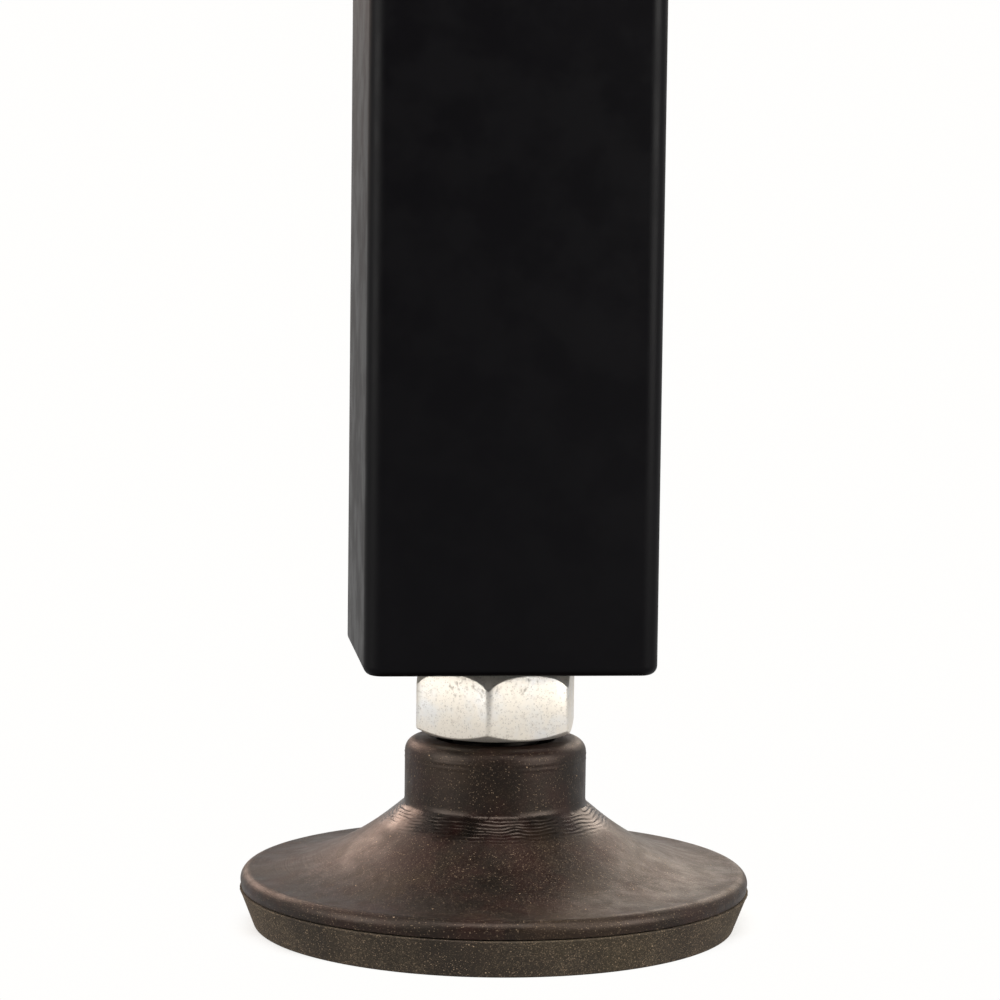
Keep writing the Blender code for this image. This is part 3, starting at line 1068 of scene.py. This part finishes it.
@dataclass
class HexNut:
    """A chamfered hexagon nut, with a countersunk bore that holds a shallow thread."""

    node: str
    body: str
    name: str
    turn: float
    finish: PlatedFinish | SteelFinish
    across_flats: float = 24.0 * MM
    upper_chamfer: float = math.radians(38)
    lower_chamfer: float = math.radians(30)
    upper_face: float = 11.2 * MM
    lower_face: float = 11.4 * MM
    washer_radius: float = 10.9 * MM
    washer_height: float = 0.4 * MM
    washer_taper: float = 0.1 * MM
    corner_drop: float = 1.1 * MM
    bore: float = 8.25 * MM
    sink: float = 0.8 * MM
    thread_depth: float = 0.5 * MM
    pitch: float = 2.0 * MM
    corner_round: float = 0.05 * MM
    edge: float = 0.12 * MM
    rows_per_turn: int = 8
    sides: int = 216

    def reach(self, angle: float) -> float:
        """Return how far the side is from the axis in one direction, its corners eased.

        Args:
            angle: the direction round the axis.

        Returns:
            The distance in metres.
        """
        from_flat = (angle - self.turn + TAU / 12) % (TAU / 6) - TAU / 12
        flat = self.across_flats / 2 / math.cos(from_flat)
        limit = self.across_flats / 2 / math.cos(TAU / 12) - self.edge
        soft = self.corner_round
        return limit - soft * math.log1p(math.exp((limit - flat) / soft))

    def loop(self, radius: Callable[[float], float], height: Callable[[float], float]) -> Loop:
        """Return a loop whose radius and height depend on the angle."""
        angles = [self.turn + TAU * i / self.sides for i in range(self.sides)]
        return [(radius(a) * math.cos(a), radius(a) * math.sin(a), height(a)) for a in angles]

    def chamfer_loops(self, face: float, level: float, slope: float, drop: float) -> list[Loop]:
        """Return the loops over one chamfer, from the end face's edge out to the side.

        Args:
            face: the end face's radius.
            level: the end face's height.
            slope: how much the chamfer falls for each metre out, negative upwards.
            drop: how much further it falls right at the corners, with the same sign.

        Returns:
            The loops, in order.
        """
        corner = self.across_flats / 2 / math.cos(TAU / 12)
        tip = math.copysign(self.edge, slope)

        def fall(angle: float) -> float:
            """Return how far the chamfer has fallen at the side, in one direction.

            Args:
                angle: the direction round the axis.

            Returns:
                The fall in metres.
            """
            out = self.reach(angle)
            share = max(0.0, (out - self.across_flats / 2) / (corner - self.across_flats / 2))
            return (out - face) * slope + drop * share ** 4

        loops = [self.loop(lambda a: face, lambda a: level)]
        for share in (0.5, 1.0):
            loops.append(self.loop(lambda a, s=share: face + (self.reach(a) - self.edge - face) * s,
                                   lambda a, s=share: level - (fall(a) - tip) * s))
        loops.append(self.loop(lambda a: self.reach(a) - 0.25 * self.edge, lambda a: level - fall(a)))
        loops.append(self.loop(self.reach, lambda a: level - fall(a) - tip))
        return loops

    def outer_loops(self, bottom: float, top: float) -> list[Loop]:
        """Return the loops over the outside, from the lower face to the upper.

        Args:
            bottom: the nut's lowest height.
            top: the nut's highest height.

        Returns:
            The loops, in order.
        """
        lower = self.chamfer_loops(self.lower_face, bottom, -math.tan(self.lower_chamfer), 0.0)
        shelf = top - self.washer_height
        upper = self.chamfer_loops(self.upper_face, shelf, math.tan(self.upper_chamfer), self.corner_drop)
        washer = [self.loop(lambda a: self.washer_radius, lambda a: shelf),
                  self.loop(lambda a: self.washer_radius - self.washer_taper, lambda a: top)]
        return lower + upper[::-1] + washer

    def bore_loops(self, bottom: float, top: float) -> list[Loop]:
        """Return the loops down the bore, with the thread's groove winding round it.

        Args:
            bottom: the nut's lowest height.
            top: the nut's highest height.

        Returns:
            The loops, from the top down.
        """
        rows = round((top - bottom) / self.pitch * self.rows_per_turn)
        loops = [self.loop(lambda a: self.bore + self.sink, lambda a: top)]
        for row in range(1, rows):
            height = top - (top - bottom) * row / rows
            ease = smooth_step(min(top - height, height - bottom), 0.0, self.sink)
            flare = self.sink * (1 - ease)

            def radius(angle: float, height: float = height, flare: float = flare,
                       ease: float = ease) -> float:
                """Return the bore's radius in one direction.

                Args:
                    angle: the direction round the axis.
                    height: the loop's height.
                    flare: how much the countersink widens it.
                    ease: how much of the groove shows.

                Returns:
                    The radius in metres.
                """
                phase = (height / self.pitch - angle / TAU) % 1
                groove = smooth_step(abs(phase - 0.5) * 2, 0.15, 0.85)
                return self.bore + flare + self.thread_depth * groove * ease

            loops.append(self.loop(radius, lambda a, height=height: height))
        loops.append(self.loop(lambda a: self.bore + self.sink, lambda a: bottom))
        return loops

    def build(self) -> None:
        """Make and hand over the nut."""
        low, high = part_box(self.node)
        loops = self.outer_loops(low.z, high.z) + self.bore_loops(low.z, high.z)
        nut = loop_tube(self.name, loops, Shade.CRISP)
        dress(nut, self.finish.material())
        settle(nut, self.body, self.finish.slot, self.node)


@dataclass
class Stem:
    """The threaded stem with a ball at its lower end."""

    pitch: float = 2.0 * MM
    crest: float = 8.0 * MM
    thread_depth: float = 1.15 * MM
    ball: float = 9.5 * MM
    neck: float = 6.0 * MM
    sides: int = 72
    rows_per_turn: int = 10
    end_chamfer: float = 1.3 * MM
    neck_rise: float = 0.4 * MM
    run_in: float = 0.9 * MM
    overlap: float = 1.0 * MM
    cap_gap: float = 0.05 * MM
    ball_sides: int = 96
    ball_steps: int = 40
    finish: BlackenedFinish = field(default_factory=BlackenedFinish)

    def build(self) -> None:
        """Make and hand over the stem's two pieces."""
        low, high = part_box("ball_stem")
        steel = self.finish.material()
        centre = low.z + self.ball
        neck_angle = math.degrees(math.acos(self.neck / self.ball))
        neck_top = centre + self.ball * math.sin(math.radians(neck_angle)) + self.neck_rise
        thread_start = neck_top + self.run_in
        root = self.crest - self.thread_depth
        profile = arc((0.0, centre), self.ball, -90, neck_angle, self.ball_steps)
        profile[0] = (0.0, low.z)
        profile += [(self.neck, neck_top), (root, neck_top + root - self.neck),
                    (root, thread_start + self.overlap), (0.0, thread_start + self.overlap)]
        ball = turned("ball_end", profile, self.ball_sides, closed=False, shade=Shade.CRISP)
        dress(ball, steel)
        settle(ball, "stem", self.finish.slot, "ball_stem")
        top = high.z - self.end_chamfer
        turns = (top - thread_start) / self.pitch
        rod = grow("stem_thread", THREAD, {
            "Bottom": thread_start, "Top": top, "Crest": self.crest, "Depth": self.thread_depth,
            "Pitch": self.pitch, "Sides": self.sides + 1, "Rows": round(turns * self.rows_per_turn),
            "Finish": steel}, Shade.CRISP)
        settle(rod, "stem", self.finish.slot)
        foot, rim = top - self.overlap, root - self.cap_gap
        cap = turned("stem_end", [(0.0, foot), (rim - self.cap_gap, foot), (rim, top),
                                  (rim - self.end_chamfer, high.z), (0.0, high.z)],
                     self.sides, closed=False, shade=Shade.CRISP)
        dress(cap, steel)
        settle(cap, "stem", self.finish.slot)


# ---------------------------------------------------------------------------------------------
# The foot
# ---------------------------------------------------------------------------------------------


@dataclass
class BallLiners:
    """The nylon shells between the ball and its socket."""

    inner: float = 9.7 * MM
    sides: int = 96
    steps: int = 26
    finish: NylonFinish = field(default_factory=NylonFinish)

    def shell(self, node: str, body: str, material: bpy.types.Material) -> None:
        """Make one liner.

        Args:
            node: the node that it stands for.
            body: the body that it moves with.
            material: the nylon.
        """
        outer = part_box("liner_cup")[1].x
        low, high = (corner.z - BALL_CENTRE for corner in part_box(node))
        whole = low <= -outer
        angles = []
        for radius in (self.inner, outer):
            start = -90.0 if whole else math.degrees(math.asin(low / radius))
            angles.append((start, math.degrees(math.asin(high / radius))))
        inside = arc((0.0, BALL_CENTRE), self.inner, angles[0][0], angles[0][1], self.steps)
        outside = arc((0.0, BALL_CENTRE), outer, angles[1][1], angles[1][0], self.steps)
        if whole:
            inside[0] = (0.0, inside[0][1])
            outside[-1] = (0.0, outside[-1][1])
        piece = turned(f"{node}_skin", inside + outside, self.sides, closed=not whole, shade=Shade.CRISP)
        dress(piece, material)
        settle(piece, body, self.finish.slot, node)

    def build(self) -> None:
        """Make and hand over both liners."""
        nylon = self.finish.material()
        self.shell("liner_cup", "seat", nylon)
        self.shell("liner_ring", "tilt_ring", nylon)


@dataclass
class MouldedFoot:
    """The moulded foot: neck, hollow flare, rounded shoulder, and the socket inside."""

    edge_radius: float = 40.3 * MM
    shoulder_top: float = 8.8 * MM
    shoulder_round: float = 1.6 * MM
    neck_radius: float = 14.4 * MM
    neck_foot: float = 19.6 * MM
    neck_round: float = 2.1 * MM
    neck_bore: float = 9.4 * MM
    socket: float = 11.4 * MM
    fillet: float = 0.7 * MM
    rim_drop: float = 0.25 * MM
    rim_points: tuple[tuple[float, float], ...] = ((0.35 * MM, 0.0), (0.16 * MM, 0.1 * MM))
    fillet_points: tuple[tuple[float, float], ...] = ((0.45, 0.42), (0.12, 0.95), (0.0, 1.6))
    bore_bevel: float = 0.4 * MM
    core_gap: float = 0.3 * MM
    wide_step: float = 0.9 * MM
    fine_step: float = 0.07 * MM
    neck_step: float = 0.22 * MM
    flare_power: float = 2.0
    screw_hole: float = 1.9 * MM
    screw_hole_top: float = 13.9 * MM
    sides: int = 320
    crease_rise: float = 0.06 * MM
    crease_step: float = 0.44 * MM
    plain_below: float = 2.6 * MM
    unevenness: float = 0.012 * MM
    neck_rings: tuple[float, ...] = (2.35 * MM, 3.1 * MM)
    neck_ring_width: float = 0.16 * MM
    neck_ring_rise: float = 0.05 * MM
    finish: MouldedFinish = field(default_factory=MouldedFinish)
    top: float = field(default_factory=lambda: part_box("foot_body")[1].z)

    def flare_height(self, radius: float) -> float:
        """Return the upper surface's height.

        Args:
            radius: how far out from the axis.

        Returns:
            The height in metres.
        """
        start = self.edge_radius - self.shoulder_round
        share = (start - radius) / (start - self.neck_radius)
        return self.shoulder_top + (self.neck_foot - self.shoulder_top) * share ** self.flare_power

    def creases(self, angle: float, radius: float, height: float) -> float:
        """Return how far fine creases push a point out, strongest just under the neck.

        Args:
            angle: the point's angle round the axis.
            radius: the point's radius.
            height: the point's height.

        Returns:
            The outward shift in metres.
        """
        if radius <= self.neck_bore + MM or height < self.shoulder_top - self.plain_below:
            return 0.0
        ring = Vector((math.cos(angle), math.sin(angle), 0.0))
        broad = noise.noise(ring * 1.6 + Vector((0.0, 0.0, height * 160))) * self.unevenness
        if radius > self.neck_radius + 0.1 * MM:
            down = (self.neck_foot - height) / MM
            strength = smooth_step(down, -0.1, 0.5) * (1 - smooth_step(down, 2.0, 4.2))
            wander = noise.noise(ring * 5.0 + Vector((3.0, 0.0, down * 0.5))) * 5.0
            wander += noise.noise(ring * 15.0 + Vector((0.0, 7.0, down * 1.4))) * 1.5
            patch = noise.noise(ring * 9.0 + Vector((0.0, 2.0, down)))
            broken = 0.35 + 0.65 * smooth_step(patch, -0.4, 0.4)
            wave = math.sin(TAU * down * MM / self.crease_step + wander)
            return broad + self.crease_rise * strength * broken * wave
        below_top = self.top - height
        rings = sum(math.exp(-((below_top - ring_place) / self.neck_ring_width) ** 2)
                    for ring_place in self.neck_rings)
        return broad + self.neck_ring_rise * rings

    def section(self, low: Vector, high: Vector) -> Profile:
        """Return the foot's closed section.

        Args:
            low: the foot's lowest corner.
            high: the foot's highest corner.

        Returns:
            The points: outside from the rim up, then down the bore and the socket.
        """
        core_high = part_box("core_plate")[1]
        rim = (self.edge_radius - self.shoulder_round, self.shoulder_top - self.shoulder_round)
        rim_low = low.z - self.rim_drop
        outside = [(self.edge_radius - inset, rim_low + rise) for inset, rise in self.rim_points]
        outside += arc(rim, self.shoulder_round, -18, 90, 16)
        radius = rim[0]
        while radius > self.neck_radius + self.fillet:
            far_out = smooth_step(radius, self.neck_radius + 5 * MM, self.neck_radius + 9 * MM)
            radius -= self.fine_step + (self.wide_step - self.fine_step) * far_out
            radius = max(radius, self.neck_radius + self.fillet)
            outside.append((radius, self.flare_height(radius)))
        ease = self.flare_height(self.neck_radius + self.fillet)
        outside += [(self.neck_radius + self.fillet * out, ease + self.fillet * up)
                    for out, up in self.fillet_points]
        lip = arc((self.neck_radius - self.neck_round, high.z - self.neck_round), self.neck_round, 0, 90, 14)
        outside = outside[:-1] + filled([outside[-1], lip[0]], self.neck_step) + lip[1:]
        bore_angle = math.degrees(math.acos(self.neck_bore / self.socket))
        recess, top = core_high.x + self.core_gap, core_high.z + self.core_gap
        inside = [(self.neck_bore + self.bore_bevel, high.z), (self.neck_bore, high.z - self.bore_bevel)]
        inside += arc((0.0, BALL_CENTRE), self.socket, bore_angle, 0, 12)
        return outside + inside + [(self.socket, top), (recess, top), (recess, rim_low)]

    def build(self) -> None:
        """Make and hand over the foot."""
        low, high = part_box("foot_body")
        foot = turned("foot_body_skin", self.section(low, high), self.sides, closed=True, shade=Shade.CRISP,
                      shift=self.creases)
        holes = []
        for screw in CORE_SCREWS:
            screw_low, screw_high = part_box(screw)
            middle = (screw_low + screw_high) / 2
            hole = turned("hole", [(0.0, 0.0), (self.screw_hole, 0.0), (self.screw_hole, self.screw_hole_top),
                                   (0.0, self.screw_hole_top)], 24, closed=False)
            hole.data.transform(Matrix.Translation((middle.x, middle.y, 0.0)))
            holes.append(hole)
        cut_away(foot, holes)
        dress(foot, self.finish.material())
        settle(foot, "foot", self.finish.slot, "foot_body")


@dataclass
class Sole:
    """The rubber sole: a slanting band, a thin flash line at its top, and a ribbed underside."""

    bottom_radius: float = 38.4 * MM
    edge: float = 0.16 * MM
    lower_edge: float = 0.45 * MM
    tread_depth: float = 1.3 * MM
    tread_rings: tuple[float, ...] = (12.0 * MM, 19.0 * MM, 26.0 * MM, 33.0 * MM)
    ring_width: float = 1.6 * MM
    rib_width: float = 1.3 * MM
    rib_overlap: float = 0.3 * MM
    rib_lift: float = 0.1 * MM
    pad_radius: float = 7.0 * MM
    tread_taper: float = 0.2 * MM
    rim_inset: float = 2.6 * MM
    band_step: float = 0.3 * MM
    ribs_per_ring: tuple[int, ...] = (12, 20, 28)
    sides: int = 320
    finish: MouldedFinish = RUBBER
    top: float = field(default_factory=lambda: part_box("sole")[1].z)

    def flash(self, angle: float, radius: float, height: float) -> float:
        """Return how far the ragged flash line and the band's unevenness push a point out.

        Args:
            angle: the point's angle round the axis.
            radius: the point's radius.
            height: the point's height.

        Returns:
            The outward shift in metres.
        """
        if radius < self.bottom_radius - MM:
            return 0.0
        ring = Vector((math.cos(angle), math.sin(angle), 0.0))
        broad = noise.noise(ring * 2.2 + Vector((5.0, 0.0, height * 200))) * 0.05 * MM
        near_top = math.exp(-(((self.top - self.edge - height) / (0.2 * MM)) ** 2))
        ragged = 0.4 + 0.7 * noise.noise(ring * 31.0) + 0.5 * noise.noise(ring * 90.0)
        return min(broad, 0.0) + 0.12 * MM * near_top * max(0.0, ragged) - 0.14 * MM

    def section(self, high: Vector) -> Profile:
        """Return the sole's section from the middle of its underside round to its top.

        Args:
            high: the sole's highest corner.

        Returns:
            The points, as radius and height.
        """
        ridge = high.x
        taper = self.tread_taper
        points: Profile = [(0.0, 0.0), (self.pad_radius, 0.0), (self.pad_radius + taper, self.tread_depth)]
        for radius in self.tread_rings:
            inner, outer = radius - self.ring_width / 2, radius + self.ring_width / 2
            points += [(inner - taper, self.tread_depth), (inner, 0.0), (outer, 0.0),
                       (outer + taper, self.tread_depth)]
        rim = self.tread_rings[-1] + self.rim_inset
        points += [(rim - taper, self.tread_depth), (rim, 0.0)]
        points += arc((self.bottom_radius - self.lower_edge, self.lower_edge), self.lower_edge, -90, -15, 6)
        band = [points[-1], (ridge, high.z - self.edge)]
        points += filled(band, self.band_step)
        points += arc((ridge - self.edge, high.z - self.edge), self.edge, 15, 90, 5)
        return points + [(0.0, high.z)]

    def build(self) -> None:
        """Make and hand over the sole and its ribs."""
        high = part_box("sole")[1]
        rubber = self.finish.material()
        sole = turned("sole_skin", self.section(high), self.sides, closed=False, shade=Shade.CRISP,
                      shift=self.flash)
        dress(sole, rubber)
        settle(sole, "foot", self.finish.slot, "sole")
        for inner, outer, count in zip(self.tread_rings, self.tread_rings[1:], self.ribs_per_ring):
            height = self.tread_depth + self.rib_overlap
            ribs = grow(f"tread_ribs_{count}", TREAD_RIBS, {
                "Count": count, "Radius": (inner + outer) / 2,
                "Length": outer - inner - self.ring_width + self.rib_overlap, "Width": self.rib_width,
                "Height": height, "Level": height / 2 + self.rib_lift, "Finish": rubber}, Shade.CRISP)
            settle(ribs, "foot", self.finish.slot)


@dataclass
class CorePlate:
    """The steel disc under the socket and the screws that hold it."""

    plate_finish: SteelFinish = SteelFinish(name="turned steel", lay=Lay.ROUND)
    screw_finish: PlatedFinish = PlatedFinish(name="screw plating", roughness=0.36)

    def build(self) -> None:
        """Dress the disc and its screws."""
        dress(frame["nodes"]["core_plate"], self.plate_finish.material())
        plating = self.screw_finish.material()
        for screw in CORE_SCREWS:
            dress(frame["nodes"][screw], plating)
        LOG.info("core_plate and %d screws: dressed", len(CORE_SCREWS))


# ---------------------------------------------------------------------------------------------
# The studio
# ---------------------------------------------------------------------------------------------


@dataclass(frozen=True)
class Softbox:
    """A soft rectangular lamp that faces the foot."""

    name: str
    place: tuple[float, float, float]
    width: float
    height: float
    watts: float
    colour: Colour = (1.0, 0.98, 0.95)

    def hang(self, aim: Vector) -> None:
        """Hang the lamp and turn it to the aim.

        Args:
            aim: the point it faces.
        """
        lamp = bpy.data.lights.new(self.name, "AREA")
        lamp.shape, lamp.size, lamp.size_y = "RECTANGLE", self.width, self.height
        lamp.energy, lamp.color = self.watts, self.colour
        holder = bpy.data.objects.new(self.name, lamp)
        holder.location = self.place
        holder.rotation_euler = (aim - Vector(self.place)).to_track_quat("-Z", "Y").to_euler()
        bpy.context.scene.collection.objects.link(holder)


@dataclass
class Studio:
    """The floor, the surroundings, the lamps and the camera."""

    camera_place: tuple[float, float, float] = (-51.5 * MM, -456.19 * MM, 102.69 * MM)
    yaw: float = math.radians(6.47)
    pitch: float = math.radians(4.39)
    roll: float = math.radians(0.71)
    lens: float = 104.9
    sensor: float = 36.0
    aim: tuple[float, float, float] = (0.0, 0.0, 50 * MM)
    white: Colour = (1.0, 0.995, 0.985)
    floor_size: float = 6.0
    floor_drop: float = 0.02 * MM
    floor_colour: Colour = (0.9, 0.885, 0.86)
    floor_fade: tuple[float, float] = (38.5 * MM, 54.0 * MM)
    floor_fade_wander: float = 20.0 * MM
    lamps: tuple[Softbox, ...] = (
        Softbox("left_box", (-0.75, -0.30, 0.35), 0.6, 0.7, 6.2),
        Softbox("right_box", (0.66, -0.52, 0.34), 0.55, 0.6, 7.4),
        Softbox("front_top_box", (0.0, -0.42, 0.85), 0.7, 0.35, 6.0),
        Softbox("back_left_box", (-0.5, 0.85, 0.5), 0.6, 0.35, 4.0, (1.0, 0.72, 0.58)),
        Softbox("back_right_box", (0.5, 0.85, 0.5), 0.6, 0.35, 3.2, (1.0, 0.84, 0.70)),
    )
    surround: float = 0.58
    front: float = 0.025
    front_fade: tuple[float, float] = (-0.85, 0.1)

    def build(self) -> None:
        """Set up everything that isn't part of the object."""
        self.build_world()
        self.build_floor()
        for lamp in self.lamps:
            lamp.hang(Vector(self.aim))
        self.build_camera()
        bpy.context.scene.view_settings.view_transform = "Standard"

    def build_world(self) -> None:
        """Light the surroundings white behind and beside the leg, and dimmer in front of it."""
        world = bpy.data.worlds.new("studio")
        bpy.context.scene.world = world
        world.use_nodes = True
        canvas = Canvas(world.node_tree)
        around = canvas.node("ShaderNodeTexCoord").outputs["Generated"]
        toward = canvas.node("ShaderNodeSeparateXYZ", {0: around})
        back = canvas.remap(toward.outputs[1], *self.front_fade, self.front, self.surround)
        seen = canvas.node("ShaderNodeLightPath").outputs["Is Camera Ray"]
        strength = canvas.math("MAXIMUM", back, seen)
        background = world.node_tree.nodes["Background"]
        background.inputs["Color"].default_value = (*self.white, 1.0)
        world.node_tree.links.new(strength, background.inputs["Strength"])

    def build_floor(self) -> None:
        """Lay a pale floor that fades into the surroundings away from the foot."""
        half = self.floor_size / 2
        corners = [(-half, -half), (half, -half), (half, half), (-half, half)]
        mesh = bpy.data.meshes.new("floor")
        mesh.from_pydata([(x, y, -self.floor_drop) for x, y in corners], [], [(0, 1, 2, 3)])
        floor = bpy.data.objects.new("floor", mesh)
        bpy.context.scene.collection.objects.link(floor)
        paint = Paint("pale floor", 0.9, Specular_IOR_Level=0.0)
        paint.shader.inputs["Base Color"].default_value = (*self.floor_colour, 1.0)
        length = paint.node("ShaderNodeVectorMath", {0: paint.place()}, operation="LENGTH")
        grain = paint.use(PATCHES, Scale=6.0, Low=0.2, High=0.8)
        seen = paint.node("ShaderNodeLightPath").outputs["Is Camera Ray"]
        strength = paint.math("MAXIMUM", seen, self.surround)
        glow = paint.node("ShaderNodeEmission", {"Color": (*self.white, 1.0), "Strength": strength})
        far = paint.math("MULTIPLY_ADD", grain, self.floor_fade_wander, length.outputs["Value"])
        mixer = paint.node("ShaderNodeMixShader", {
            0: paint.remap(far, *self.floor_fade), 1: paint.shader.outputs[0], 2: glow.outputs[0]})
        output = next(n for n in paint.tree.nodes if n.type == "OUTPUT_MATERIAL")
        paint.tree.links.new(mixer.outputs[0], output.inputs["Surface"])
        dress(floor, paint.material)

    def build_camera(self) -> None:
        """Put the camera low in front of the foot, a little to its left."""
        level = math.cos(self.pitch)
        ahead = Vector((math.sin(self.yaw) * level, math.cos(self.yaw) * level, -math.sin(self.pitch)))
        right = Vector((math.cos(self.yaw), -math.sin(self.yaw), 0.0))
        down = ahead.cross(right)
        rolled_right = right * math.cos(self.roll) - down * math.sin(self.roll)
        rolled_down = right * math.sin(self.roll) + down * math.cos(self.roll)
        turn = Matrix((rolled_right, -rolled_down, -ahead)).transposed()
        data = bpy.data.cameras.new("camera")
        data.lens, data.sensor_width = self.lens, self.sensor
        data.clip_start, data.clip_end = 0.01, 50.0
        camera = bpy.data.objects.new("camera", data)
        camera.matrix_world = Matrix.Translation(self.camera_place) @ turn.to_4x4()
        bpy.context.scene.collection.objects.link(camera)
        bpy.context.scene.camera = camera


def main() -> None:
    """Build the studio and every sub-assembly."""
    logging.basicConfig(level=logging.INFO, format="%(name)s: %(message)s")
    Studio().build()
    Leg().build()
    plating = PlatedFinish()
    HexNut("jam_nut", "jam_nut", "jam_nut_skin", math.radians(48.5), plating).build()
    weld_steel = SteelFinish(name="weld nut steel", lay=Lay.ROUND)
    HexNut("weld_nut", "leg", "weld_nut_skin", 0.0, weld_steel).build()
    Stem().build()
    BallLiners().build()
    MouldedFoot().build()
    Sole().build()
    CorePlate().build()


if __name__ == "__main__":
    main()
